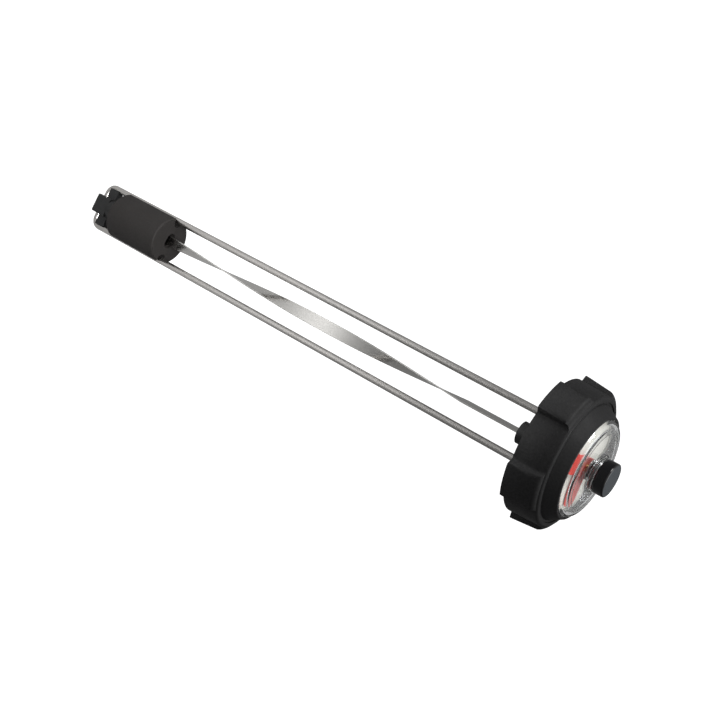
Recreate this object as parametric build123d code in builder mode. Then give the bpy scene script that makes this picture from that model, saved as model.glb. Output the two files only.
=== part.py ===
from build123d import *
import os
from math import hypot

# Tank level gauge. A screw cap carries a dial under a clear window, and a float that
# slides on a bent wire turns a twisted strip, which turns the pointer.
# Millimetres. +Z points up out of the tank, and z = 0 is the face on the tank's neck.

# ---- driving dimensions -------------------------------------------------------------

# Clearances
bearing_gap = 0.05      # radial, a shaft in its bearing
mould_gap = 0.1         # radial, between moulded pieces that locate each other
press_gap = 0.02        # radial, a piece pressed into its seat
end_gap = 0.05          # axial, between faces that rub
stop_gap = 0.3          # axial, at the ends of a travel

# Cap
neck_r = 34.0           # wall inside the skirt
skirt_wall = 3.5        # at the skirt's edge, between the lobes
lobe_rise = 3.5         # how far a lobe stands out of the valleys
lobe_count = 5
lobe_phase = -57.0      # degrees from +X to the middle of the first lobe
lobe_crown_width = 28.0  # degrees
lobe_foot_width = 34.0  # degrees
lobe_edge_r = 1.2       # rounding of a lobe's long edges
lobe_foot_r = 3.5       # rounding where a lobe meets the valley
lobe_end_r = 3.0        # rounding of a lobe's front end
lobe_end_drop = 1.0     # lobe's front end behind the shoulder's face
lobe_draft = 1.8        # radius that a lobe loses on its way to the front
cap_draft = 0.95        # radius lost from the skirt's edge to the shoulder
skirt_depth = 13.0
shoulder_z = 6.0
shoulder_round = 1.5
shoulder_width = 1.3    # flat land between the rounding and the groove
groove_width = 1.2
groove_depth = 0.8
bezel_top_z = 12.0
bezel_lip = 1.4         # width of the bezel's top edge
bezel_round = 0.5
mouth_chamfer = 0.8
deck_thick = 3.0

# Seals
gasket_thick = 2.0
gasket_in_r = 24.0
lens_seal_thick = 0.8
lens_seal_width = 2.0
vent_seal_thick = 1.6
vent_seal_r = 8.8

# Lens
window_r = 27.0         # the well in the cap that holds dial and lens
lens_wall = 1.6
lens_shoulder_r = 25.5
lens_shoulder_rise = 2.7
lens_crown_rise = 5.0   # height of the dome's middle above the bezel
lens_step_r = 20.5
lens_step = 0.6
lens_bulge = 0.3        # how far the dome stands out of a straight cone
hub_out_r = 9.95
hub_wall = 0.85
hub_rise = 1.5
hub_floor_drop = 0.6    # floor of the hub's cup below the dome's middle
vent_boss_r = 7.0
vent_boss_drop = 2.2    # underside of the vent boss below the cup's floor
snap_rise = 0.4
snap_height = 0.8
snap_up = 0.5           # snap bead above the lens's lower edge

# Vent knob
knob_r = 9.2
knob_neck_r = 8.6
knob_top_z = 25.0
knob_chamfer = 0.8
knob_lift_gap = 0.3     # knob's head above the hub ring
stem_r = 4.0
stem_tip_r = 3.2
vent_travel = 1.2
vent_groove = 1.2
retainer_r = 5.6
retainer_thick = 0.6
stem_tip_reach = 0.2    # stem below the retainer

# Dial and pointer
dial_thick = 0.8
dial_rise = 3.4         # dial's face above the deck
dial_rim = 1.3
dial_hole_r = 4.6
dial_foot_r = 19.4
dial_foot_width = 2.0
pointer_gap = 1.3       # pointer above the dial's face
pointer_thick = 0.9
pointer_width = 10.6
pointer_reach = 22.2    # the arm that shows empty
pointer_side_reach = 21.4
pointer_corner_r = 0.8
hub_collar_r = 3.2
hub_spigot_r = 2.0
hub_spigot_rise = 0.5

# Gauge head
head_flange_r = 20.0
head_flange_thick = 1.6
head_shank_r = 17.5
head_floor_z = 0.0
head_skin = 2.2
head_pillar_r = 5.5
boss_r = 6.2
boss_bore_r = 4.2
boss_end_z = -28.0
socket_r = 3.6
socket_end_z = -8.0
socket_top_z = 1.0
head_web = 2.4
key_width = 4.0
key_rise = 1.2
vent_hole_r = 1.1
vent_hole_place = 11.5
bush_seat_thick = 3.6   # wall that holds the top bush
bush_r = 2.6
bush_flange_r = 4.0
bush_flange_thick = 0.7

# Twisted strip
strip_width = 7.5
strip_thick = 0.8
tang_width = 2.8
twist_per_mm = 1.0983   # degrees, turning anticlockwise going up
strip_top_gap = 0.8
strip_plain_extra = 6.0

# Guide wire
wire_r = 2.0
wire_spacing = 27.0
wire_bend_r = 5.0
gauge_length = 355.4    # from the neck seat to the wire's lowest point

# Float
float_r = 14.9
float_height = 43.0
float_chamfer = 0.7
float_hole_length = 10.0
float_hole_width = 6.8
float_hole_angle = -7.0
float_slot_angle = -11.8
float_slot_gap = 0.35   # all round the strip, in the drive slot
float_web = 2.0
float_notch_r = 3.2
float_notch_x = 12.6

# End bracket
bracket_rise = 20.1     # bearing's top above the wire's cross-bar
bracket_boss_drop = 11.0
block_length = 12.0
block_depth = 9.4
block_skin = 1.0
block_rise = 8.4        # block's top above the cross-bar
wing_thick = 4.4
wing_top = 9.9          # above the cross-bar
wing_height = 7.6
snap_mouth = 3.4
pivot_relief_depth = 1.5
pivot_relief_gap = 0.4
pivot_depth = 6.0
tang_end_gap = 0.6

# ---- places that follow from them ---------------------------------------------------

valley_r = neck_r + skirt_wall
lobe_r = valley_r + lobe_rise
deck_z = gasket_thick
deck_top_z = deck_z + deck_thick
well_z = deck_top_z
dial_z = deck_top_z + dial_rise
lens_foot_z = dial_z + lens_seal_thick
snap_z = lens_foot_z + snap_up
lens_r = window_r - mould_gap
crown_z = bezel_top_z + lens_crown_rise
cup_z = crown_z - hub_floor_drop
hub_top_z = crown_z + hub_rise
hub_in_r = hub_out_r - hub_wall
vent_boss_z = cup_z - vent_boss_drop
knob_base_z = cup_z + vent_seal_thick
knob_head_z = hub_top_z + knob_lift_gap
retainer_top_z = vent_boss_z - vent_travel - stop_gap / 2
retainer_z = retainer_top_z - retainer_thick
pointer_z = dial_z + pointer_gap
pointer_top_z = pointer_z + pointer_thick
head_top_z = deck_top_z + head_flange_thick
bush_seat_z = head_top_z - bush_seat_thick
bush_top_z = head_top_z + bush_flange_thick
hub_z = bush_top_z + end_gap
tang_r = hypot(tang_width, strip_thick) / 2
bearing_r = tang_r + bearing_gap
strip_r = hypot(strip_width, strip_thick) / 2
wire_x = wire_spacing / 2
bar_z = wire_r - gauge_length
bracket_top_z = bar_z + bracket_rise
relief_z = bracket_top_z - pivot_relief_depth
strip_low_z = relief_z + end_gap * 10
strip_top_z = bush_seat_z - strip_top_gap
float_low_z = bracket_top_z + stop_gap
float_top_z = float_low_z + float_height
float_travel = boss_end_z - float_top_z - stop_gap
web_middle_z = float_low_z + float_web / 2
twist_top_z = float_low_z + float_web + float_travel + strip_plain_extra


def strip_angle(height):
    """Direction of the strip's width, in degrees from +X."""
    return float_slot_angle + twist_per_mm * (min(height, twist_top_z) - web_middle_z)


def save(piece, name):
    piece.part.label = name
    export_step(piece.part, f"parts/{name}.step")


def disc(low, high, radius, mode=Mode.ADD):
    """A round stretch of the part being built, from one height to another."""
    with BuildSketch(Plane.XY.offset(low)) as section:
        Circle(radius)
    extrude(section.sketch, amount=high - low, mode=mode)


def bulged_arc(start, end, bulge):
    """An arc that stands out of its chord by bulge, to the left of start to end."""
    chord = Vector(*end) - Vector(*start)
    middle = Vector(*start) + chord / 2 + Vector(-chord.Y, chord.X).normalized() * bulge
    ThreePointArc(start, (middle.X, middle.Y), end)


def sweep_wire(radius, mode=Mode.ADD):
    """A round bar along the guide wire's path: down one leg, across and up the other."""
    with BuildLine(Plane.XZ) as path:
        FilletPolyline(
            (-wire_x, socket_top_z),
            (-wire_x, bar_z),
            (wire_x, bar_z),
            (wire_x, socket_top_z),
            radius=wire_bend_r,
        )
    with BuildSketch(Plane.XY.offset(socket_top_z)) as section:
        with Locations((-wire_x, 0)):
            Circle(radius)
    sweep(section.sketch, path=path.line, mode=mode)


os.makedirs("parts", exist_ok=True)

# ---- screw cap ----------------------------------------------------------------------

shoulder_r = valley_r - cap_draft
groove_out_r = shoulder_r - shoulder_round - shoulder_width
groove_in_r = groove_out_r - groove_width
bezel_r = window_r + bezel_lip
lobe_foot = shoulder_r - mould_gap
lobe_corner = Vector(lobe_r, 0).rotate(Axis.Z, lobe_crown_width / 2)
lobe_flank = lobe_corner - Vector(lobe_foot, 0).rotate(Axis.Z, lobe_foot_width / 2)
lobe_end_z = shoulder_z - lobe_end_drop
lobe_shoulder = (lobe_r - lobe_draft, lobe_end_z - lobe_end_r)
lobe_end = (lobe_shoulder[0] - lobe_end_r, lobe_end_z)


def corners_at(sketch, radius):
    """The corners of a sketch that lie on a circle round the axis."""
    return sketch.vertices().filter_by(lambda v: abs(hypot(v.X, v.Y) - radius) < mould_gap)


with BuildPart() as cap_body:
    # grip lobes: one outline run up the whole skirt, then trimmed by a turned envelope
    with BuildSketch(Plane.XY.offset(-skirt_depth)) as lobe_plan:
        with PolarLocations(0, lobe_count, start_angle=lobe_phase):
            inner = lobe_corner - 2 * lobe_flank
            outer = lobe_corner + lobe_flank
            Polygon(
                (inner.X, -inner.Y),
                (outer.X, -outer.Y),
                (outer.X, outer.Y),
                (inner.X, inner.Y),
                align=None,
            )
        Circle(lobe_r, mode=Mode.INTERSECT)
        fillet(corners_at(lobe_plan, lobe_r), lobe_edge_r)
        Circle(lobe_foot)
        fillet(corners_at(lobe_plan, lobe_foot), lobe_foot_r)
        Circle(neck_r + mouth_chamfer, mode=Mode.SUBTRACT)
    extrude(amount=skirt_depth + shoulder_z)
    with BuildSketch(Plane.XZ):
        with BuildLine():
            Polyline((0, lobe_end_z), (0, -skirt_depth), (lobe_r, -skirt_depth), lobe_shoulder)
            RadiusArc(lobe_shoulder, lobe_end, -lobe_end_r)
            Line(lobe_end, (0, lobe_end_z))
        make_face()
    revolve(axis=Axis.Z, mode=Mode.INTERSECT)

    # shell: valley wall, shoulder, groove, conical bezel, well, deck and skirt
    with BuildSketch(Plane.XZ):
        with BuildLine():
            round_low = (shoulder_r, shoulder_z - shoulder_round)
            round_high = (shoulder_r - shoulder_round, shoulder_z)
            Polyline((neck_r + mouth_chamfer, -skirt_depth), (valley_r, -skirt_depth), round_low)
            RadiusArc(round_low, round_high, -shoulder_round)
            Polyline(
                round_high,
                (groove_out_r, shoulder_z),
                (groove_out_r, shoulder_z - groove_depth),
                (groove_in_r, shoulder_z - groove_depth),
                (bezel_r, bezel_top_z),
                (window_r, bezel_top_z),
                (window_r, well_z),
                (head_shank_r + mould_gap, well_z),
                (head_shank_r + mould_gap, deck_z),
                (neck_r, deck_z),
                (neck_r, mouth_chamfer - skirt_depth),
                (neck_r + mouth_chamfer, -skirt_depth),
            )
        make_face()
    revolve(axis=Axis.Z)
    rim = cap_body.edges().filter_by(GeomType.CIRCLE).group_by(Axis.Z)[-1]
    fillet(rim.sort_by(SortBy.RADIUS)[-1], bezel_round)

    # snap groove for the lens, and keyway for the gauge head
    snap_groove_r = window_r + snap_rise + end_gap
    disc(snap_z - end_gap, snap_z + snap_height + end_gap, snap_groove_r, mode=Mode.SUBTRACT)
    with BuildSketch(Plane.XY.offset(deck_z)):
        with Locations((0, -head_shank_r)):
            Rectangle(key_width + 2 * mould_gap, 2 * (key_rise + mould_gap))
    extrude(amount=deck_thick, mode=Mode.SUBTRACT)
save(cap_body, "cap_body")

# ---- seals --------------------------------------------------------------------------

with BuildPart() as cap_gasket:
    disc(0, deck_z, neck_r - mould_gap)
    disc(0, deck_z, gasket_in_r, mode=Mode.SUBTRACT)
save(cap_gasket, "cap_gasket")

with BuildPart() as lens_seal:
    disc(dial_z, lens_foot_z, lens_r)
    disc(dial_z, lens_foot_z, lens_r - lens_seal_width, mode=Mode.SUBTRACT)
save(lens_seal, "lens_seal")

with BuildPart() as vent_seal:
    disc(cup_z, knob_base_z, vent_seal_r)
    disc(cup_z, knob_base_z, stem_r + mould_gap, mode=Mode.SUBTRACT)
save(vent_seal, "vent_seal")

# ---- lens ---------------------------------------------------------------------------

skirt_in_r = lens_r - lens_wall
outer_shoulder = (lens_shoulder_r, bezel_top_z + lens_shoulder_rise)
inner_shoulder = (lens_shoulder_r - lens_wall, outer_shoulder[1] - lens_wall)
inner_crown = (vent_boss_r, crown_z - lens_wall)
step_share = (inner_shoulder[0] - lens_step_r) / (inner_shoulder[0] - vent_boss_r)
step_z = inner_shoulder[1] + step_share * (inner_crown[1] - inner_shoulder[1])

with BuildPart() as lens:
    with BuildSketch(Plane.XZ):
        with BuildLine():
            Polyline(
                (skirt_in_r, lens_foot_z), (lens_r, lens_foot_z), (lens_r, bezel_top_z), outer_shoulder
            )
            bulged_arc(outer_shoulder, (hub_out_r, crown_z), -lens_bulge)
            Polyline(
                (hub_out_r, crown_z),
                (hub_out_r, hub_top_z),
                (hub_in_r, hub_top_z),
                (hub_in_r, cup_z),
                (stem_r + bearing_gap, cup_z),
                (stem_r + bearing_gap, vent_boss_z),
                (vent_boss_r, vent_boss_z),
                inner_crown,
            )
            bulged_arc(inner_crown, (lens_step_r, step_z + lens_step), lens_bulge)
            Polyline(
                (lens_step_r, step_z + lens_step),
                (lens_step_r, step_z),
                inner_shoulder,
                (skirt_in_r, lens_foot_z),
            )
        make_face()
    revolve(axis=Axis.Z)
    with BuildSketch(Plane.XY.offset(snap_z)):
        Circle(window_r + snap_rise)
        Circle(lens_r - lens_wall / 2, mode=Mode.SUBTRACT)
    extrude(amount=snap_height)
save(lens, "lens")

# ---- vent knob ----------------------------------------------------------------------

with BuildPart() as vent_knob:
    with BuildSketch(Plane.XZ):
        with BuildLine():
            Polyline(
                (0, retainer_z - stem_tip_reach),
                (stem_tip_r, retainer_z - stem_tip_reach),
                (stem_tip_r, retainer_top_z),
                (stem_r, retainer_top_z),
                (stem_r, knob_base_z),
                (knob_neck_r, knob_base_z),
                (knob_neck_r, knob_head_z),
                (knob_r, knob_head_z),
                (knob_r, knob_top_z - knob_chamfer),
                (knob_r - knob_chamfer, knob_top_z),
                (0, knob_top_z),
                close=True,
            )
        make_face()
    revolve(axis=Axis.Z)
    # air groove down the stem, closed by the seal when the knob is screwed down
    with BuildSketch(Plane.XY.offset(retainer_z - stem_tip_reach)):
        with Locations((stem_r, 0)):
            Rectangle(2 * vent_groove, vent_groove)
    extrude(amount=knob_base_z - retainer_z + stem_tip_reach, mode=Mode.SUBTRACT)
save(vent_knob, "vent_knob")

with BuildPart() as vent_retainer:
    disc(retainer_z, retainer_top_z, retainer_r)
    disc(retainer_z, retainer_top_z, stem_tip_r + press_gap, mode=Mode.SUBTRACT)
save(vent_retainer, "vent_retainer")

# ---- dial and pointer ---------------------------------------------------------------

with BuildPart() as dial_plate:
    disc(well_z, dial_z, window_r - mould_gap)
    disc(well_z, dial_z - dial_thick, window_r - mould_gap - dial_rim, mode=Mode.SUBTRACT)
    disc(head_top_z, dial_z - dial_thick, dial_foot_r)
    disc(head_top_z, dial_z - dial_thick, dial_foot_r - dial_foot_width, mode=Mode.SUBTRACT)
    disc(well_z, dial_z, dial_hole_r, mode=Mode.SUBTRACT)
save(dial_plate, "dial_plate")

with BuildPart() as pointer:
    # two arms at a right angle, both as wide as the corner where they meet
    with BuildSketch(Plane.XY.offset(pointer_z)) as pointer_plan:
        Rectangle(pointer_width, pointer_width)
        with Locations((0, pointer_width / 2)):
            Rectangle(
                pointer_width, pointer_reach + pointer_width / 2, align=(Align.CENTER, Align.MAX)
            )
        with Locations((-pointer_width / 2, 0)):
            Rectangle(
                pointer_side_reach + pointer_width / 2, pointer_width, align=(Align.MIN, Align.CENTER)
            )
        fillet(pointer_plan.vertices(), pointer_corner_r)
        Circle(hub_spigot_r + press_gap, mode=Mode.SUBTRACT)
    extrude(amount=pointer_thick)
save(pointer, "pointer")

with BuildPart() as pointer_hub:
    disc(hub_z, pointer_z, hub_collar_r)
    disc(pointer_z, pointer_top_z + hub_spigot_rise, hub_spigot_r)
    with BuildSketch(Plane.XY.offset(hub_z)):
        Rectangle(
            tang_width + 2 * press_gap, strip_thick + 2 * press_gap, rotation=strip_angle(hub_z)
        )
    extrude(amount=pointer_top_z + hub_spigot_rise - hub_z, mode=Mode.SUBTRACT)
save(pointer_hub, "pointer_hub")

# ---- gauge head ---------------------------------------------------------------------

head_skin_z = head_floor_z + head_skin

with BuildPart() as gauge_head:
    disc(head_floor_z, deck_top_z, head_shank_r)
    disc(deck_top_z, head_top_z, head_flange_r)
    with BuildSketch(Plane.XY.offset(head_floor_z)):
        with Locations((0, -head_shank_r)):
            Rectangle(key_width, 2 * key_rise)
    extrude(amount=deck_top_z - head_floor_z)
    disc(head_skin_z, head_top_z, head_shank_r - head_skin, mode=Mode.SUBTRACT)

    # sockets for the wire's legs, with a web from each to the boss
    with BuildSketch(Plane.XY.offset(socket_end_z)):
        with Locations((-wire_x, 0), (wire_x, 0)):
            Circle(socket_r)
        Rectangle(2 * wire_x, head_web)
    extrude(amount=head_floor_z - socket_end_z)
    with BuildSketch(Plane.XY.offset(head_skin_z)):
        with Locations((-wire_x, 0), (wire_x, 0)):
            Circle(socket_r)
        Circle(head_shank_r, mode=Mode.INTERSECT)
    extrude(amount=socket_top_z + head_skin - head_skin_z)
    with BuildSketch(Plane.XY.offset(socket_end_z)):
        with Locations((-wire_x, 0), (wire_x, 0)):
            Circle(wire_r + press_gap)
    extrude(amount=socket_top_z - socket_end_z, mode=Mode.SUBTRACT)

    # hollow boss round the strip, pillar for the bush, and vent holes
    disc(boss_end_z, head_floor_z, boss_r)
    disc(head_skin_z, head_top_z, head_pillar_r)
    disc(boss_end_z, bush_seat_z, boss_bore_r, mode=Mode.SUBTRACT)
    disc(bush_seat_z, head_top_z, bush_r + press_gap, mode=Mode.SUBTRACT)
    with BuildSketch(Plane.XY.offset(head_floor_z)):
        with Locations((0, -vent_hole_place), (0, vent_hole_place)):
            Circle(vent_hole_r)
    extrude(amount=head_skin, mode=Mode.SUBTRACT)
save(gauge_head, "gauge_head")

with BuildPart() as top_bush:
    disc(bush_seat_z, head_top_z, bush_r)
    disc(head_top_z, bush_top_z, bush_flange_r)
    disc(bush_seat_z, bush_top_z, bearing_r, mode=Mode.SUBTRACT)
save(top_bush, "top_bush")

# ---- twisted strip ------------------------------------------------------------------

with BuildPart() as spiral_strip:
    # lower tang, twisted length, plain length and upper tang
    with BuildSketch(Plane.XY.offset(strip_low_z)):
        Rectangle(tang_width, strip_thick, rotation=strip_angle(strip_low_z))
    extrude(amount=tang_end_gap - pivot_depth - (strip_low_z - relief_z))
    with BuildSketch(Plane.XY.offset(strip_low_z), mode=Mode.PRIVATE) as strip_section:
        Rectangle(strip_width, strip_thick, rotation=strip_angle(strip_low_z))
    add(
        Solid.extrude_linear_with_rotation(
            strip_section.sketch.faces()[0],
            center=(0, 0, strip_low_z),
            normal=(0, 0, twist_top_z - strip_low_z),
            angle=strip_angle(twist_top_z) - strip_angle(strip_low_z),
        )
    )
    with BuildSketch(Plane.XY.offset(twist_top_z)):
        Rectangle(strip_width, strip_thick, rotation=strip_angle(twist_top_z))
    extrude(amount=strip_top_z - twist_top_z)
    with BuildSketch(Plane.XY.offset(strip_top_z)):
        Rectangle(tang_width, strip_thick, rotation=strip_angle(strip_top_z))
    extrude(amount=pointer_top_z - strip_top_z)
save(spiral_strip, "spiral_strip")

# ---- guide wire ---------------------------------------------------------------------

with BuildPart() as guide_wire:
    sweep_wire(wire_r)
save(guide_wire, "guide_wire")

# ---- float --------------------------------------------------------------------------

with BuildPart() as level_float:
    disc(float_low_z, float_top_z, float_r)
    chamfer(level_float.edges().filter_by(GeomType.CIRCLE), float_chamfer)
    # open notches for the wire's legs
    with BuildSketch(Plane.XY.offset(float_low_z)):
        with PolarLocations(0, 2):
            with Locations((float_notch_x, 0)):
                Circle(float_notch_r)
                Rectangle(float_r, 2 * float_notch_r, align=(Align.MIN, Align.CENTER))
    extrude(amount=float_height, mode=Mode.SUBTRACT)
    # wide hole that clears the strip, down to a web with the slot that drives it
    with BuildSketch(Plane.XY.offset(float_low_z + float_web)):
        SlotOverall(float_hole_length, float_hole_width, rotation=float_hole_angle)
    extrude(amount=float_height - float_web, mode=Mode.SUBTRACT)
    with BuildSketch(Plane.XY.offset(float_low_z)):
        Rectangle(
            strip_width + 2 * float_slot_gap,
            strip_thick + 2 * float_slot_gap,
            rotation=float_slot_angle,
        )
    extrude(amount=float_web, mode=Mode.SUBTRACT)
save(level_float, "float")

# ---- end bracket --------------------------------------------------------------------

block_low_z = bar_z - wire_r - block_skin
wing_high_z = bar_z + wing_top

with BuildPart() as end_bracket:
    # boss that holds the strip's lower tang, and the block that grips the cross-bar
    disc(bracket_top_z - bracket_boss_drop, bracket_top_z, boss_r)
    with BuildSketch(Plane.XY.offset(block_low_z)):
        RectangleRounded(block_length, block_depth, block_skin)
    extrude(amount=bar_z + block_rise - block_low_z)
    # wings that reach between the wire's legs
    with BuildSketch(Plane.XY.offset(wing_high_z - wing_height)):
        Rectangle(2 * wire_x - wire_r, wing_thick)
    extrude(amount=wing_height)
    # bearing with a relief for the strip's shoulders
    disc(relief_z, bracket_top_z, strip_r + pivot_relief_gap, mode=Mode.SUBTRACT)
    disc(relief_z - pivot_depth, relief_z, bearing_r, mode=Mode.SUBTRACT)
    # seat for the wire, and the mouth that it is pushed in through
    sweep_wire(wire_r + press_gap, mode=Mode.SUBTRACT)
    with BuildSketch(Plane.XY.offset(block_low_z)):
        Rectangle(block_length, snap_mouth)
    extrude(amount=bar_z - block_low_z, mode=Mode.SUBTRACT)
save(end_bracket, "end_bracket")
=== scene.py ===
from math import pi, radians, tau

import bmesh
import bpy
from bpy.props import FloatProperty, FloatVectorProperty, IntProperty, PointerProperty
from bpy.types import Operator, Panel, PropertyGroup
from mathutils import Matrix, Vector


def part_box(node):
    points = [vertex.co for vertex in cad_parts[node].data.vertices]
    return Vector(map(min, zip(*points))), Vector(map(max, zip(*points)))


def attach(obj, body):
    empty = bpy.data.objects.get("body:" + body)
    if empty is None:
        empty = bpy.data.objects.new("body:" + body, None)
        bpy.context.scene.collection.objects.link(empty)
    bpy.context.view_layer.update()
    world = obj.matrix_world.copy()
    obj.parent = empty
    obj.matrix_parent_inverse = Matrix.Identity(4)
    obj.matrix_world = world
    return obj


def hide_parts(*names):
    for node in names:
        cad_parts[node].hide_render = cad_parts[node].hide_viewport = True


bl_info = {
    "name": "Tank Level Gauge",
    "version": (1, 0, 0),
    "blender": (4, 5, 0),
    "location": "View3D > Sidebar > Gauge",
    "description": "Builds a screw-cap tank gauge with a float, a twisted strip and a dial",
    "category": "Object",
}

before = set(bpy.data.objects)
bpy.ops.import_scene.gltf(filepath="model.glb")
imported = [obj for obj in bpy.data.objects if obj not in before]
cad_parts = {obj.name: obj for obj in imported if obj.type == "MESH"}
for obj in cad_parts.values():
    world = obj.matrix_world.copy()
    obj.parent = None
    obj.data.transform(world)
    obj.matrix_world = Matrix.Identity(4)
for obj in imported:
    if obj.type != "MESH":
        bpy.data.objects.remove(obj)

MM = 0.001

SEAM_GAP = 1e-7  # in metres: points of a turned piece that are closer than this are one
FACET_GAP = 1e-6  # the same, in a copy of a solid
FLAT_ANGLE = radians(0.3)  # a solid's faces that turn by less than this are one face
BUMP_HEIGHT = 0.1 * MM  # height of a finish's bump at full strength


# ---- measures taken from the frame --------------------------------------------------


def low_z(node):
    """Lowest height of a node, in millimetres."""
    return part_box(node)[0][2] / MM


def high_z(node):
    """Greatest height of a node, in millimetres."""
    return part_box(node)[1][2] / MM


def outer_r(node):
    """How far a node reaches along +X, in millimetres: the radius of a turned one."""
    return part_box(node)[1][0] / MM


# ---- sizes and colours that a user would change -------------------------------------


def length(name, description, millimetres):
    """A length property, given in millimetres."""
    return FloatProperty(
        name=name, description=description, default=millimetres * MM, unit="LENGTH", precision=5
    )


def colour(name, description, red, green, blue):
    """A colour property."""
    return FloatVectorProperty(
        name=name,
        description=description,
        default=(red, green, blue, 1),
        size=4,
        min=0,
        max=1,
        subtype="COLOR",
    )


class GaugeSizes(PropertyGroup):
    """Sizes that the frame leaves open."""

    thread_pitch: length("Thread pitch", "Rise of the neck thread in one turn", 4)
    thread_depth: length("Thread depth", "How far the neck thread stands out of the wall", 1.3)
    strip_corner: length("Strip corner", "Rounding along the strip's edges", 0.15)
    mark_length: length("Mark length", "Radial length of a dial mark", 2.4)
    mark_width: length("Mark width", "Width of a dial mark", 0.5)
    mark_height: length("Mark height", "Thickness of a dial mark's print", 0.06)
    mark_count: IntProperty(
        name="Mark count", description="Marks round the dial", default=24, min=1, max=120
    )


class GaugeColours(PropertyGroup):
    """Colours of the finishes."""

    cap: colour("Cap", "Moulded cap", 0.0065, 0.0064, 0.0068)
    head: colour("Head", "Gauge head and end bracket", 0.006, 0.0062, 0.0064)
    knob: colour("Knob", "Vent knob's polished side", 0.004, 0.004, 0.005)
    # the knob top's lighter colour is a painted sheen, standing for the reflection that the top
    # catches
    knob_top_sheen: colour("Knob top", "Vent knob's satin top", 0.06, 0.069, 0.078)
    gasket: colour("Gasket", "Rubber gasket", 0.012, 0.012, 0.012)
    silicone: colour("Silicone", "Lens seal", 0.55, 0.55, 0.52)
    lens: colour("Lens", "Clear lens", 0.97, 0.98, 0.99)
    dial: colour("Dial", "Dial plate", 0.8, 0.79, 0.72)
    mark: colour("Marks", "Marks on the dial", 0.9, 0.88, 0.82)
    pointer: colour("Pointer", "Pointer", 0.62, 0.03, 0.015)
    brass: colour("Brass", "Top bush and pointer hub", 0.72, 0.5, 0.2)
    steel: colour("Steel", "Guide wire and vent retainer", 0.47, 0.455, 0.44)
    strip: colour("Strip", "Twisted strip", 0.6, 0.59, 0.57)
    foam: colour("Foam", "Float", 0.0125, 0.0113, 0.0108)


# ---- shared effects -----------------------------------------------------------------


# A Mix node's colour sockets share their names with its other ones, so they go by number
MIX_FACTOR, MIX_FIRST, MIX_SECOND, MIX_RESULT = 0, 6, 7, 2

EFFECT_OUTPUTS = {
    "Height": "NodeSocketFloat",
    "Colour": "NodeSocketColor",
    "Roughness": "NodeSocketFloat",
}


def set_inputs(node, values):
    """Sets a node's inputs, each by its name or number."""
    for socket, value in values.items():
        node.inputs[socket].default_value = value


class Nodes:
    """Short calls for one node tree."""

    def __init__(self, tree):
        self.tree = tree

    def add(self, kind, inputs=None, **settings):
        """A new node with its settings and the values of its inputs."""
        node = self.tree.nodes.new(kind)
        for name, value in settings.items():
            setattr(node, name, value)
        set_inputs(node, inputs or {})
        return node

    def join(self, start, end):
        """Links an output to an input."""
        self.tree.links.new(start, end)


def new_effect(name, inputs):
    """A node group with named inputs that puts out a height, a colour and a roughness."""
    group = bpy.data.node_groups.new(name, "ShaderNodeTree")
    for label, default in inputs.items():
        kind = "NodeSocketColor" if isinstance(default, tuple) else "NodeSocketFloat"
        socket = group.interface.new_socket(label, in_out="INPUT", socket_type=kind)
        socket.default_value = default
    for label, kind in EFFECT_OUTPUTS.items():
        group.interface.new_socket(label, in_out="OUTPUT", socket_type=kind)
    nodes = Nodes(group)
    return group, nodes, nodes.add("NodeGroupInput"), nodes.add("NodeGroupOutput")


def moulding_grain():
    """Grain of a moulded surface: a fine height, a mottled colour and an uneven roughness."""
    if "Moulding grain" in bpy.data.node_groups:
        return bpy.data.node_groups["Moulding grain"]
    group, nodes, given, result = new_effect(
        "Moulding grain",
        {
            "Colour": (0.1, 0.1, 0.1, 1),
            "Mottle": 0.2,
            "Grain Scale": 2500.0,
            "Roughness Low": 0.35,
            "Roughness High": 0.5,
        },
    )
    place = nodes.add("ShaderNodeTexCoord")
    fine = nodes.add("ShaderNodeTexNoise", {"Detail": 3})
    broad = nodes.add("ShaderNodeTexNoise", {"Scale": 60, "Detail": 4})
    spread = nodes.add("ShaderNodeMapRange", {"From Min": 0.35, "From Max": 0.65})
    darker = nodes.add("ShaderNodeMath", {0: 1}, operation="SUBTRACT")
    lighter = nodes.add("ShaderNodeMath", {0: 1}, operation="ADD")
    shade = nodes.add("ShaderNodeMapRange", {"From Min": 0.3, "From Max": 0.7})
    tint = nodes.add("ShaderNodeVectorMath", operation="SCALE")
    nodes.join(place.outputs["Object"], fine.inputs["Vector"])
    nodes.join(place.outputs["Object"], broad.inputs["Vector"])
    nodes.join(given.outputs["Grain Scale"], fine.inputs["Scale"])
    nodes.join(broad.outputs["Fac"], spread.inputs["Value"])
    nodes.join(given.outputs["Roughness Low"], spread.inputs["To Min"])
    nodes.join(given.outputs["Roughness High"], spread.inputs["To Max"])
    nodes.join(given.outputs["Mottle"], darker.inputs[1])
    nodes.join(given.outputs["Mottle"], lighter.inputs[1])
    nodes.join(fine.outputs["Fac"], shade.inputs["Value"])
    nodes.join(darker.outputs["Value"], shade.inputs["To Min"])
    nodes.join(lighter.outputs["Value"], shade.inputs["To Max"])
    nodes.join(given.outputs["Colour"], tint.inputs[0])
    nodes.join(shade.outputs["Result"], tint.inputs["Scale"])
    nodes.join(fine.outputs["Fac"], result.inputs["Height"])
    nodes.join(tint.outputs["Vector"], result.inputs["Colour"])
    nodes.join(spread.outputs["Result"], result.inputs["Roughness"])
    return group


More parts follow.
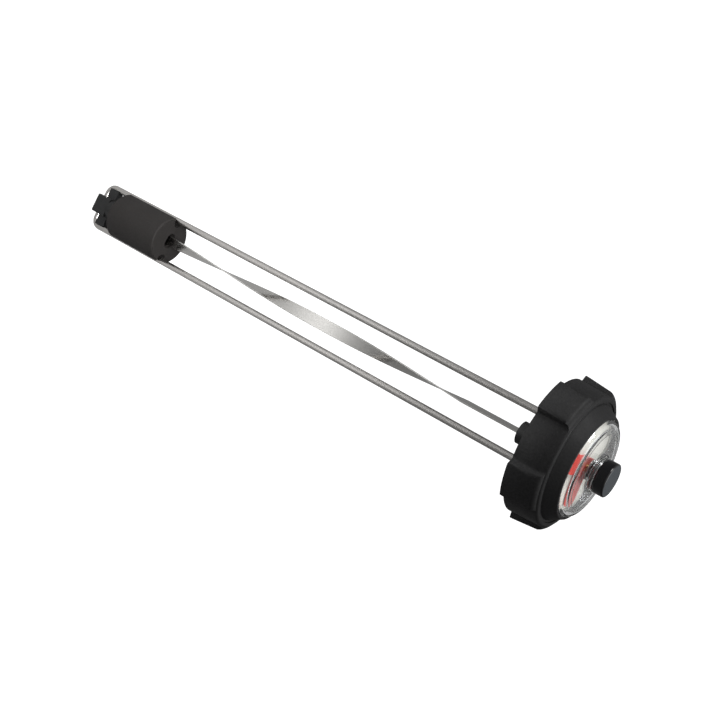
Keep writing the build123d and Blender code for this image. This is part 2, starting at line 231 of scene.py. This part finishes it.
def drawn_streaks():
    """Streaks of drawn or rolled metal along Z: a height, a shaded colour and a roughness."""
    if "Drawn streaks" in bpy.data.node_groups:
        return bpy.data.node_groups["Drawn streaks"]
    group, nodes, given, result = new_effect(
        "Drawn streaks",
        {
            "Colour": (0.6, 0.6, 0.6, 1),
            "Streak Scale": 900.0,
            "Roughness Low": 0.2,
            "Roughness High": 0.4,
        },
    )
    place = nodes.add("ShaderNodeTexCoord")
    stretch = nodes.add("ShaderNodeMapping", {"Scale": (1, 1, 0.02)})
    streak = nodes.add("ShaderNodeTexNoise", {"Detail": 4})
    spread = nodes.add("ShaderNodeMapRange", {"From Min": 0.3, "From Max": 0.7})
    shade = nodes.add("ShaderNodeMapRange", {"To Min": 0.85, "To Max": 1.1})
    tint = nodes.add("ShaderNodeVectorMath", operation="SCALE")
    nodes.join(place.outputs["Object"], stretch.inputs["Vector"])
    nodes.join(stretch.outputs["Vector"], streak.inputs["Vector"])
    nodes.join(given.outputs["Streak Scale"], streak.inputs["Scale"])
    nodes.join(streak.outputs["Fac"], spread.inputs["Value"])
    nodes.join(given.outputs["Roughness Low"], spread.inputs["To Min"])
    nodes.join(given.outputs["Roughness High"], spread.inputs["To Max"])
    nodes.join(streak.outputs["Fac"], shade.inputs["Value"])
    nodes.join(given.outputs["Colour"], tint.inputs[0])
    nodes.join(shade.outputs["Result"], tint.inputs["Scale"])
    nodes.join(streak.outputs["Fac"], result.inputs["Height"])
    nodes.join(tint.outputs["Vector"], result.inputs["Colour"])
    nodes.join(spread.outputs["Result"], result.inputs["Roughness"])
    return group


# ---- finishes -----------------------------------------------------------------------


def new_material(name):
    """A material, the calls for its tree, and its Principled shader."""
    material = bpy.data.materials.new(name)
    material.use_nodes = True
    return material, Nodes(material.node_tree), material.node_tree.nodes["Principled BSDF"]


def bumped(nodes, shader, height, strength):
    """A height as a bump on the shader."""
    bump = nodes.add("ShaderNodeBump", {"Strength": strength, "Distance": BUMP_HEIGHT})
    nodes.join(height, bump.inputs["Height"])
    nodes.join(bump.outputs["Normal"], shader.inputs["Normal"])


def effect_finish(name, effect, inputs, bump):
    """A material with the colour, roughness and height of a shared effect, and its shader."""
    material, nodes, shader = new_material(name)
    group = nodes.add("ShaderNodeGroup", inputs, node_tree=effect)
    nodes.join(group.outputs["Colour"], shader.inputs["Base Color"])
    nodes.join(group.outputs["Roughness"], shader.inputs["Roughness"])
    bumped(nodes, shader, group.outputs["Height"], bump)
    return material, shader


def moulded_finish(name, tone, roughness, grain=2500.0, bump=0.25, gloss=0.5, mottle=0.1):
    """A moulded plastic or rubber with its own grain; its roughness runs from low to high."""
    inputs = {
        "Colour": tone,
        "Mottle": mottle,
        "Grain Scale": grain,
        "Roughness Low": roughness[0],
        "Roughness High": roughness[1],
    }
    material, shader = effect_finish(name, moulding_grain(), inputs, bump)
    set_inputs(shader, {"Specular IOR Level": gloss})
    return material


def metal_finish(name, tone, roughness, streaks=900.0, bump=0.1):
    """A drawn or rolled metal with lengthwise streaks; its roughness runs from low to high."""
    inputs = {
        "Colour": tone,
        "Streak Scale": streaks,
        "Roughness Low": roughness[0],
        "Roughness High": roughness[1],
    }
    material, shader = effect_finish(name, drawn_streaks(), inputs, bump)
    set_inputs(shader, {"Metallic": 1})
    return material


def satin_top_sheen_finish(name, side, top, height):
    """A polished plastic whose top face, at a height in metres, is satin and painted a lighter
    colour: a painted sheen that stands for the reflection the top catches.
    """
    material, nodes, shader = new_material(name)
    blend = 0.15 * MM  # depth over which the side turns into the top
    place = nodes.add("ShaderNodeTexCoord")
    split = nodes.add("ShaderNodeSeparateXYZ")
    # the top face gets the lighter colour: a painted sheen
    top_sheen_mask = nodes.add("ShaderNodeMapRange", {"From Min": height - blend, "From Max": height})
    tone = nodes.add("ShaderNodeMix", data_type="RGBA")
    set_inputs(tone, {MIX_FIRST: side, MIX_SECOND: top})
    satin = nodes.add("ShaderNodeMapRange", {"To Min": 0.08, "To Max": 0.25})
    grain = nodes.add("ShaderNodeGroup", node_tree=moulding_grain())
    nodes.join(place.outputs["Object"], split.inputs["Vector"])
    nodes.join(split.outputs["Z"], top_sheen_mask.inputs["Value"])
    nodes.join(top_sheen_mask.outputs["Result"], tone.inputs[MIX_FACTOR])
    nodes.join(top_sheen_mask.outputs["Result"], satin.inputs["Value"])
    nodes.join(tone.outputs[MIX_RESULT], grain.inputs["Colour"])
    nodes.join(grain.outputs["Colour"], shader.inputs["Base Color"])
    nodes.join(satin.outputs["Result"], shader.inputs["Roughness"])
    bumped(nodes, shader, grain.outputs["Height"], 0.05)
    return material


def clear_finish(name, tone):
    """Clear moulded plastic."""
    material, _, shader = new_material(name)
    set_inputs(
        shader, {"Base Color": tone, "Transmission Weight": 1, "Roughness": 0.03, "IOR": 1.49}
    )
    return material


# ---- shaping ------------------------------------------------------------------------


def turned(profile, steps=128, segments=4):
    """A turned solid from (radius, height, rounding) corners in millimetres.

    A profile that starts and ends on the axis stays open there.
    """
    bm = bmesh.new()
    corners = [bm.verts.new((radius * MM, 0, height * MM)) for radius, height, _ in profile]
    for start, end in zip(corners, corners[1:]):
        bm.edges.new((start, end))
    if profile[0][0] > 0:
        bm.edges.new((corners[-1], corners[0]))
    for corner, (_, _, rounding) in zip(corners, profile):
        if rounding:
            bmesh.ops.bevel(
                bm,
                geom=[corner],
                offset=rounding * MM,
                affect="VERTICES",
                segments=segments,
                profile=0.5,
                material=-1,
            )
    bmesh.ops.spin(
        bm,
        geom=bm.verts[:] + bm.edges[:],
        cent=(0, 0, 0),
        axis=(0, 0, 1),
        angle=tau,
        steps=steps,
        use_merge=True,
    )
    bmesh.ops.remove_doubles(bm, verts=bm.verts[:], dist=SEAM_GAP)
    return bm


def flat_ring(node, inner, rounding=0.1, steps=128):
    """A flat ring with rounded edges in a node's place, from its inner radius."""
    outer, low, high = outer_r(node), low_z(node), high_z(node)
    profile = [
        (inner, low, rounding),
        (outer, low, rounding),
        (outer, high, rounding),
        (inner, high, rounding),
    ]
    return turned(profile, steps)


def arc_between(start, end, bulge, count=8):
    """Profile points between start and end, on a shallow arc that bulges to the left."""
    chord = Vector(end) - Vector(start)
    across = Vector((-chord.y, chord.x)).normalized()
    points = []
    for step in range(1, count):
        share = step / count
        rise = 4 * share * (1 - share) * bulge
        place = Vector(start) + chord * share + across * rise
        points.append((place.x, place.y, 0))
    return points


def smooth_copy(node):
    """A merged copy of a CAD node, its flat faces joined."""
    bm = bmesh.new()
    bm.from_mesh(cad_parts[node].data)
    bmesh.ops.remove_doubles(bm, verts=bm.verts[:], dist=FACET_GAP)
    bmesh.ops.dissolve_limit(
        bm, angle_limit=FLAT_ANGLE, verts=bm.verts[:], edges=bm.edges[:], delimit=set()
    )
    return bm


def push(bm, face, offset):
    """Extrudes a face by an offset in metres and returns its new end."""
    result = bmesh.ops.extrude_face_region(bm, geom=[face])
    moved = [part for part in result["geom"] if isinstance(part, bmesh.types.BMVert)]
    bmesh.ops.translate(bm, vec=offset, verts=moved)
    return next(part for part in result["geom"] if isinstance(part, bmesh.types.BMFace))


def bend(bm, face, centre, axis, angle, steps):
    """Spins a face round a centre in metres, and returns its new end."""
    result = bmesh.ops.spin(
        bm,
        geom=[face] + face.verts[:] + face.edges[:],
        cent=centre,
        axis=axis,
        angle=angle,
        steps=steps,
    )
    return next(part for part in result["geom_last"] if isinstance(part, bmesh.types.BMFace))


def place_piece(name, bm, body, material, stands_for=(), crease=30):
    """Finishes a mesh as an object that rides on a body and stands for its CAD nodes.

    Edges that turn by more than the crease, in degrees, stay sharp.
    """
    bmesh.ops.recalc_face_normals(bm, faces=bm.faces[:])
    mesh = bpy.data.meshes.new(name)
    bm.to_mesh(mesh)
    bm.free()
    mesh.shade_smooth()
    mesh.set_sharp_from_angle(angle=radians(crease))
    piece = bpy.data.objects.new(name, mesh)
    bpy.context.scene.collection.objects.link(piece)
    mesh.materials.append(material)
    even = piece.modifiers.new("Even shading", "WEIGHTED_NORMAL")
    even.keep_sharp = True
    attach(piece, body)
    if stands_for:
        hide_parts(*stands_for)
    return piece


def place_copy(name, node, body, material):
    """Finishes a merged copy of a CAD node in that node's place."""
    return place_piece(name, smooth_copy(node), body, material, [node])


# ---- the pieces ---------------------------------------------------------------------


class GAUGE_OT_cap(Operator):
    """Dresses the screw cap with its lobes"""

    bl_idname = "gauge.cap"
    bl_label = "Cap"

    def execute(self, context):
        tone = context.scene.gauge_colours.cap
        finish = moulded_finish(
            "cap plastic", tone, (0.5, 0.65), grain=850, bump=1, gloss=0.3, mottle=0.4
        )
        place_copy("screw_cap", "cap_body", "cap", finish)
        return {"FINISHED"}


class GAUGE_OT_neck_thread(Operator):
    """Winds the thread that screws on to the tank's neck"""

    bl_idname = "gauge.neck_thread"
    bl_label = "Neck thread"

    def execute(self, context):
        sizes = context.scene.gauge_sizes
        root_r = 34.05 * MM  # a little into the skirt's wall, so that the thread is part of it
        crest_r = root_r - sizes.thread_depth
        root_half, crest_half = 1.3 * MM, 0.585 * MM
        start = (low_z("cap_body") + 2.2) * MM
        turns, steps_a_turn = 1.75, 64
        steps = int(turns * steps_a_turn)
        bm = bmesh.new()
        corners = [
            bm.verts.new((root_r, 0, start - root_half)),
            bm.verts.new((crest_r, 0, start - crest_half)),
            bm.verts.new((crest_r, 0, start + crest_half)),
            bm.verts.new((root_r, 0, start + root_half)),
        ]
        section = bm.faces.new(corners)
        bmesh.ops.spin(
            bm,
            geom=[section] + section.verts[:] + section.edges[:],
            cent=(0, 0, 0),
            axis=(0, 0, 1),
            dvec=(0, 0, sizes.thread_pitch * turns / steps),
            angle=tau * turns,
            steps=steps,
        )
        finish = bpy.data.materials["cap plastic"]
        place_piece("neck_thread", bm, "cap", finish)
        return {"FINISHED"}


class GAUGE_OT_seals(Operator):
    """Turns the gasket and the two seals"""

    bl_idname = "gauge.seals"
    bl_label = "Seals"

    def execute(self, context):
        colours = context.scene.gauge_colours
        rubber = moulded_finish("gasket rubber", colours.gasket, (0.6, 0.75), grain=1500)
        silicone = moulded_finish("silicone", colours.silicone, (0.4, 0.55), grain=1500)
        gasket = flat_ring("cap_gasket", inner=24, rounding=0.25)
        place_piece("gasket", gasket, "cap", rubber, ["cap_gasket"])
        lens_seal = flat_ring("lens_seal", inner=24.9)
        place_piece("lens_seal", lens_seal, "cap", silicone, ["lens_seal"])
        vent_seal = flat_ring("vent_seal", inner=4.1, rounding=0.3, steps=96)
        place_piece(
            "vent_seal", vent_seal, "vent_lifter", rubber, ["vent_seal"]
        )
        return {"FINISHED"}


class GAUGE_OT_lens(Operator):
    """Turns the clear lens"""

    bl_idname = "gauge.lens"
    bl_label = "Lens"

    def execute(self, context):
        foot, bezel, hub_top = low_z("lens"), high_z("cap_body"), high_z("lens")
        crown = bezel + 5
        roof = crown - 1.6  # underside of the wall at the crown
        cup = crown - 0.6
        vent_boss = crown - 2.8
        body_r, inner_r, bead_r = 26.9, 25.3, outer_r("lens")
        bead_low, bead_high = 9.7, 10.5
        shoulder = (25.5, bezel + 2.7)
        inner_shoulder = (23.9, bezel + 1.1)
        hub_r, cup_r, vent_boss_r, bore_r = 9.95, 9.1, 7, 4.05
        bulge = 0.3
        step_r, step = 20.5, 0.6
        share = (inner_shoulder[0] - step_r) / (inner_shoulder[0] - vent_boss_r)
        step_z = inner_shoulder[1] + share * (roof - inner_shoulder[1])
        profile = [
            (inner_r, foot, 0.15),
            (body_r, foot, 0.15),
            (body_r, bead_low, 0),
            (bead_r, bead_low, 0.2),
            (bead_r, bead_high, 0.2),
            (body_r, bead_high, 0),
            (body_r, bezel, 0.4),
            (*shoulder, 2.2),
            *arc_between(shoulder, (hub_r, crown), -bulge),
            (hub_r, crown, 0.25),
            (hub_r, hub_top, 0.2),
            (cup_r, hub_top, 0.2),
            (cup_r, cup, 0.15),
            (bore_r, cup, 0.1),
            (bore_r, vent_boss, 0.1),
            (vent_boss_r, vent_boss, 0.3),
            (vent_boss_r, roof, 0),
            *arc_between((vent_boss_r, roof), (step_r, step_z + step), bulge),
            (step_r, step_z + step, 0),
            (step_r, step_z, 0.1),
            (*inner_shoulder, 1.3),
        ]
        finish = clear_finish("clear plastic", context.scene.gauge_colours.lens)
        solid = turned(profile, steps=192, segments=8)
        lens = place_piece("lens", solid, "cap", finish, ["lens"])
        lens.visible_shadow = False  # clear plastic lets the lights on to the dial
        return {"FINISHED"}


class GAUGE_OT_vent(Operator):
    """Turns the vent knob and its retainer"""

    bl_idname = "gauge.vent"
    bl_label = "Vent knob"

    def execute(self, context):
        colours = context.scene.gauge_colours
        low, top = low_z("vent_knob"), high_z("vent_knob")
        tip_end, seat, head_low = 12.85, 18, 18.8
        tip_r, stem_r, neck_r, head_r = 3.2, 4, 8.6, outer_r("vent_knob")
        profile = [
            (0, low, 0),
            (tip_r, low, 0.2),
            (tip_r, tip_end, 0),
            (stem_r, tip_end, 0.1),
            (stem_r, seat, 0),
            (neck_r, seat, 0.2),
            (neck_r, head_low, 0),
            (head_r, head_low, 0.3),
            (head_r, top, 0.9),
            (0, top, 0),
        ]
        # the knob's top is painted a lighter colour as a painted sheen
        finish = satin_top_sheen_finish("knob plastic", colours.knob, colours.knob_top_sheen, top * MM)
        knob = turned(profile)
        place_piece("vent_knob", knob, "vent_screw", finish, ["vent_knob"])
        steel = metal_finish("clip steel", colours.steel, (0.25, 0.4))
        clip = flat_ring("vent_retainer", inner=3.22, steps=64)
        place_piece(
            "vent_retainer", clip, "vent_screw", steel, ["vent_retainer"]
        )
        return {"FINISHED"}


class GAUGE_OT_dial(Operator):
    """Turns the dial plate and lays its marks round it"""

    bl_idname = "gauge.dial"
    bl_label = "Dial"

    def execute(self, context):
        sizes = context.scene.gauge_sizes
        colours = context.scene.gauge_colours
        low, face = low_z("dial_plate"), high_z("dial_plate")
        back = face - 0.8
        foot = high_z("gauge_head")
        hole_r, foot_in_r, foot_out_r, rim_out_r = 4.6, 17.4, 19.4, outer_r("dial_plate")
        rim_in_r = rim_out_r - 1.3
        profile = [
            (hole_r, back, 0),
            (foot_in_r, back, 0),
            (foot_in_r, foot, 0.1),
            (foot_out_r, foot, 0.1),
            (foot_out_r, back, 0),
            (rim_in_r, back, 0),
            (rim_in_r, low, 0.1),
            (rim_out_r, low, 0.1),
            (rim_out_r, face, 0.2),
            (hole_r, face, 0.15),
        ]
        finish = moulded_finish("dial plastic", colours.dial, (0.35, 0.45), grain=1500, bump=0.1)
        plate = turned(profile, steps=160)
        place_piece("dial_plate", plate, "cap", finish, ["dial_plate"])

        print_finish = moulded_finish("dial print", colours.mark, (0.4, 0.5))
        mark_size = (sizes.mark_length, sizes.mark_width, sizes.mark_height)
        mark_place = (22.5 * MM, 0, face * MM + sizes.mark_height / 2)
        bm = bmesh.new()
        for number in range(sizes.mark_count):
            made = bmesh.ops.create_cube(bm, size=1)["verts"]
            bmesh.ops.scale(bm, vec=mark_size, verts=made)
            bmesh.ops.translate(bm, vec=mark_place, verts=made)
            turn = Matrix.Rotation(tau * number / sizes.mark_count, 3, "Z")
            bmesh.ops.rotate(bm, cent=(0, 0, 0), matrix=turn, verts=made)
        place_piece("dial_marks", bm, "cap", print_finish)
        return {"FINISHED"}


class GAUGE_OT_pointer(Operator):
    """Dresses the pointer and its hub"""

    bl_idname = "gauge.pointer"
    bl_label = "Pointer"

    def execute(self, context):
        colours = context.scene.gauge_colours
        finish = moulded_finish("pointer plastic", colours.pointer, (0.3, 0.4))
        place_copy("pointer", "pointer", "indicator", finish)
        brass = metal_finish("bush brass", colours.brass, (0.2, 0.35))
        place_copy("pointer_hub", "pointer_hub", "indicator", brass)
        return {"FINISHED"}


class GAUGE_OT_head(Operator):
    """Dresses the gauge head and turns its bush"""

    bl_idname = "gauge.head"
    bl_label = "Gauge head"

    def execute(self, context):
        tone = context.scene.gauge_colours.head
        finish = moulded_finish(
            "head plastic", tone, (0.42, 0.55), grain=1600, bump=0.3, gloss=0.35, mottle=0.2
        )
        place_copy("gauge_head", "gauge_head", "cap", finish)

        low, high = low_z("top_bush"), high_z("top_bush")
        flange = high - 0.7
        bore_r, bush_r, flange_r = 1.506, 2.6, 4
        profile = [
            (bore_r, low, 0.1),
            (bush_r, low, 0.1),
            (bush_r, flange, 0),
            (flange_r, flange, 0.1),
            (flange_r, high, 0.1),
            (bore_r, high, 0.1),
        ]
        brass = bpy.data.materials["bush brass"]
        bush = turned(profile, steps=64)
        place_piece("top_bush", bush, "cap", brass, ["top_bush"])
        return {"FINISHED"}


def strip_section(bm, width, height, angle, rounding):
    """A section across the strip: width and height in millimetres, angle in degrees, and
    the rounding of its corners in metres."""
    thickness = 0.8
    verts = bmesh.ops.create_grid(bm, x_segments=1, y_segments=1, size=0.5)["verts"]
    bmesh.ops.scale(bm, vec=(width * MM, thickness * MM, 1), verts=verts)
    turn = Matrix.Rotation(radians(angle), 3, "Z")
    bmesh.ops.rotate(bm, cent=(0, 0, 0), matrix=turn, verts=verts)
    bmesh.ops.translate(bm, vec=(0, 0, height * MM), verts=verts)
    made = bmesh.ops.bevel(
        bm,
        geom=verts,
        offset=rounding,
        affect="VERTICES",
        segments=3,
        profile=0.5,
        material=-1,
    )
    return made["verts"][0].link_faces[0]


class GAUGE_OT_strip(Operator):
    """Twists the strip that the float turns"""

    bl_idname = "gauge.strip"
    bl_label = "Twisted strip"

    def execute(self, context):
        corner = context.scene.gauge_sizes.strip_corner
        width, tang_width, tang_length = 7.5, 2.8, 5.9
        low = low_z("spiral_strip") + tang_length
        twist_end, shoulder, high = -63.3, 2.2, high_z("spiral_strip")
        twist_per_mm = 1.0983
        slot_angle, slot_height = -11.8, -332  # the strip lies in the float's slot there
        low_angle = slot_angle + twist_per_mm * (low - slot_height)
        twist = twist_per_mm * (twist_end - low)
        steps = 320
        bm = bmesh.new()
        face = strip_section(bm, width, low, low_angle, corner)
        result = bmesh.ops.spin(
            bm,
            geom=[face] + face.verts[:] + face.edges[:],
            cent=(0, 0, 0),
            axis=(0, 0, 1),
            dvec=(0, 0, (twist_end - low) * MM / steps),
            angle=radians(twist),
            steps=steps,
        )
        end = next(part for part in result["geom_last"] if isinstance(part, bmesh.types.BMFace))
        push(bm, end, (0, 0, (shoulder - twist_end) * MM))
        tang = strip_section(bm, tang_width, low - tang_length, low_angle, corner / 2)
        push(bm, tang, (0, 0, tang_length * MM))
        tang = strip_section(bm, tang_width, shoulder, low_angle + twist, corner / 2)
        push(bm, tang, (0, 0, (high - shoulder) * MM))
        tone = context.scene.gauge_colours.strip
        finish = metal_finish("strip metal", tone, (0.14, 0.24), streaks=500, bump=0.04)
        place_piece(
            "twisted_strip", bm, "indicator", finish, ["spiral_strip"], crease=40
        )
        return {"FINISHED"}


class GAUGE_OT_wire(Operator):
    """Bends the guide wire"""

    bl_idname = "gauge.wire"
    bl_label = "Guide wire"

    def execute(self, context):
        radius, bend_r, bend_steps = 2.0, 5.0, 16
        leg = outer_r("guide_wire") - radius
        high = high_z("guide_wire")
        bend_z = low_z("guide_wire") + radius + bend_r
        bm = bmesh.new()
        made = bmesh.ops.create_circle(bm, cap_ends=True, radius=radius * MM, segments=40)["verts"]
        bmesh.ops.translate(bm, vec=(-leg * MM, 0, high * MM), verts=made)
        face = push(bm, bm.faces[:][0], (0, 0, (bend_z - high) * MM))
        first = ((bend_r - leg) * MM, 0, bend_z * MM)
        face = bend(bm, face, first, (0, -1, 0), pi / 2, bend_steps)
        face = push(bm, face, (2 * (leg - bend_r) * MM, 0, 0))
        second = ((leg - bend_r) * MM, 0, bend_z * MM)
        face = bend(bm, face, second, (0, -1, 0), pi / 2, bend_steps)
        push(bm, face, (0, 0, (high - bend_z) * MM))
        tone = context.scene.gauge_colours.steel
        finish = metal_finish("wire steel", tone, (0.24, 0.3), streaks=700, bump=0.01)
        place_piece("guide_wire", bm, "cap", finish, ["guide_wire"])
        return {"FINISHED"}


class GAUGE_OT_float(Operator):
    """Dresses the foam float"""

    bl_idname = "gauge.float"
    bl_label = "Float"

    def execute(self, context):
        tone = context.scene.gauge_colours.foam
        finish = moulded_finish(
            "float foam", tone, (0.7, 0.85), grain=1100, bump=0.4, gloss=0.2, mottle=0.12
        )
        place_copy("float", "float", "float", finish)
        return {"FINISHED"}


class GAUGE_OT_bracket(Operator):
    """Dresses the end bracket"""

    bl_idname = "gauge.bracket"
    bl_label = "End bracket"

    def execute(self, context):
        finish = bpy.data.materials["head plastic"]
        place_copy("end_bracket", "end_bracket", "cap", finish)
        return {"FINISHED"}


# ---- stage --------------------------------------------------------------------------


def aimed(thing, place, target, roll=0):
    """Puts a camera or light at a place, in millimetres, facing a target."""
    place, target = Vector(place) * MM, Vector(target) * MM
    turn = (target - place).to_track_quat("-Z", "Y").to_matrix() @ Matrix.Rotation(roll, 3, "Z")
    thing.matrix_world = Matrix.Translation(place) @ turn.to_4x4()


def soft_light(name, place, target, size, power):
    """A square light, its side in metres, that faces a target and isn't seen itself."""
    data = bpy.data.lights.new(name, "AREA")
    data.shape = "SQUARE"
    data.size = size
    data.energy = power
    light = bpy.data.objects.new(name, data)
    light.visible_camera = False
    bpy.context.scene.collection.objects.link(light)
    aimed(light, place, target)
    return light


def straight_view(nodes):
    """How bright the ground looks: white where it is seen straight or through the lens, dimmer
    where the lens mirrors it on the way, and dark in what the other pieces mirror."""
    path = nodes.add("ShaderNodeLightPath")
    unmirrored = nodes.add("ShaderNodeMath", {1: 0.5}, operation="LESS_THAN")
    level = nodes.add("ShaderNodeMapRange", {"To Min": 0.6})
    unscattered = nodes.add("ShaderNodeMath", {1: 0.5}, operation="LESS_THAN")
    through = nodes.add("ShaderNodeMath", operation="MULTIPLY")
    through_lens = nodes.add("ShaderNodeMath", operation="MULTIPLY")
    brightest = nodes.add("ShaderNodeMath", operation="MAXIMUM")
    nodes.join(path.outputs["Glossy Depth"], unmirrored.inputs[0])
    nodes.join(unmirrored.outputs["Value"], level.inputs["Value"])
    nodes.join(path.outputs["Diffuse Depth"], unscattered.inputs[0])
    nodes.join(path.outputs["Is Transmission Ray"], through.inputs[0])
    nodes.join(unscattered.outputs["Value"], through.inputs[1])
    nodes.join(through.outputs["Value"], through_lens.inputs[0])
    nodes.join(level.outputs["Result"], through_lens.inputs[1])
    nodes.join(path.outputs["Is Camera Ray"], brightest.inputs[0])
    nodes.join(through_lens.outputs["Value"], brightest.inputs[1])
    return brightest.outputs["Value"]


def lay_floor(scene):
    """A wide pale floor just under the gauge."""
    radius, gap = 12, 0.002
    bm = bmesh.new()
    bmesh.ops.create_circle(bm, cap_ends=True, radius=radius, segments=96)
    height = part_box("end_bracket")[0][2] - gap
    bmesh.ops.translate(bm, vec=(0, 0, height), verts=bm.verts[:])
    mesh = bpy.data.meshes.new("floor")
    bm.to_mesh(mesh)
    bm.free()
    floor = bpy.data.objects.new("floor", mesh)
    scene.collection.objects.link(floor)
    material, nodes, shader = new_material("floor")
    tone, white = (0.3, 0.3, 0.3, 1), (1, 1, 1, 1)
    set_inputs(shader, {"Base Color": tone, "Roughness": 0.9, "Emission Color": white})
    nodes.join(straight_view(nodes), shader.inputs["Emission Strength"])
    mesh.materials.append(material)


def light_studio(scene):
    """A soft studio, brighter from one side, with large lights."""
    world = bpy.data.worlds.new("studio")
    scene.world = world
    world.use_nodes = True
    sky = Nodes(world.node_tree)
    background = world.node_tree.nodes["Background"]
    set_inputs(background, {"Color": (1, 1, 1, 1)})
    place = sky.add("ShaderNodeTexCoord")
    side = sky.add("ShaderNodeVectorMath", {1: (-0.6, -0.3, 0.75)}, operation="DOT_PRODUCT")
    fade = sky.add(
        "ShaderNodeMapRange",
        {"From Min": -0.5, "From Max": 1, "To Min": 0.05, "To Max": 0.6},
        interpolation_type="SMOOTHSTEP",
    )
    brightest = sky.add("ShaderNodeMath", operation="MAXIMUM")
    sky.join(place.outputs["Generated"], side.inputs[0])
    sky.join(side.outputs["Value"], fade.inputs["Value"])
    sky.join(fade.outputs["Result"], brightest.inputs[0])
    sky.join(straight_view(sky), brightest.inputs[1])
    sky.join(brightest.outputs["Value"], background.inputs["Strength"])

    soft_light("key light", (-900, -350, 300), (0, 0, -100), size=0.4, power=6)
    soft_light("top light", (-150, 250, 900), (0, 0, 0), size=0.8, power=4)
    # shines straight down on the floor in front, which the wires and the strip mirror
    soft_light("floor light", (-60, -330, 0), (-60, -329, -357), size=0.25, power=5)
    back = soft_light("back light", (60, 850, 560), (0, 0, 0), size=0.5, power=1.8)
    lit = bpy.data.collections.new("lit by the back light")
    lit.objects.link(scene.objects["vent_knob"])
    back.light_linking.receiver_collection = lit


def set_camera(scene):
    """A camera that lies on its side, so that the gauge slants across the frame."""
    data = bpy.data.cameras.new("camera")
    data.sensor_width = 36
    data.lens = 55.81
    camera = bpy.data.objects.new("camera", data)
    scene.collection.objects.link(camera)
    aimed(camera, (-36.07, -541.44, 168.17), (7.49, -0.6, -130.52), roll=radians(118.9))
    scene.camera = camera
    scene.view_settings.view_transform = "Standard"


class GAUGE_OT_stage(Operator):
    """Sets up the floor, the lights and the camera"""

    bl_idname = "gauge.stage"
    bl_label = "Stage"

    def execute(self, context):
        lay_floor(context.scene)
        light_studio(context.scene)
        set_camera(context.scene)
        return {"FINISHED"}


# ---- the add-on ---------------------------------------------------------------------


class GAUGE_PT_parts(Panel):
    """Lists the gauge's sizes, colours and pieces"""

    bl_label = "Tank Level Gauge"
    bl_idname = "GAUGE_PT_parts"
    bl_space_type = "VIEW_3D"
    bl_region_type = "UI"
    bl_category = "Gauge"

    def draw(self, context):
        layout = self.layout
        for group in (context.scene.gauge_sizes, context.scene.gauge_colours):
            for name in group.__annotations__:
                layout.prop(group, name)
        for step in STEPS:
            layout.operator(step.bl_idname)


STEPS = (
    GAUGE_OT_cap,
    GAUGE_OT_neck_thread,
    GAUGE_OT_seals,
    GAUGE_OT_lens,
    GAUGE_OT_vent,
    GAUGE_OT_dial,
    GAUGE_OT_pointer,
    GAUGE_OT_head,
    GAUGE_OT_strip,
    GAUGE_OT_wire,
    GAUGE_OT_float,
    GAUGE_OT_bracket,
    GAUGE_OT_stage,
)
CLASSES = (GaugeSizes, GaugeColours, *STEPS, GAUGE_PT_parts)


def register():
    """Registers the classes and puts their properties on the scene."""
    for cls in CLASSES:
        bpy.utils.register_class(cls)
    bpy.types.Scene.gauge_sizes = PointerProperty(type=GaugeSizes)
    bpy.types.Scene.gauge_colours = PointerProperty(type=GaugeColours)


def unregister():
    """Takes the properties and the classes away again."""
    del bpy.types.Scene.gauge_colours
    del bpy.types.Scene.gauge_sizes
    for cls in reversed(CLASSES):
        bpy.utils.unregister_class(cls)


def main():
    """Builds the whole gauge and its stage."""
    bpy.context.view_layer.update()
    register()
    for step in STEPS:
        getattr(bpy.ops.gauge, step.bl_idname.removeprefix("gauge."))()


if __name__ == "__main__":
    main()
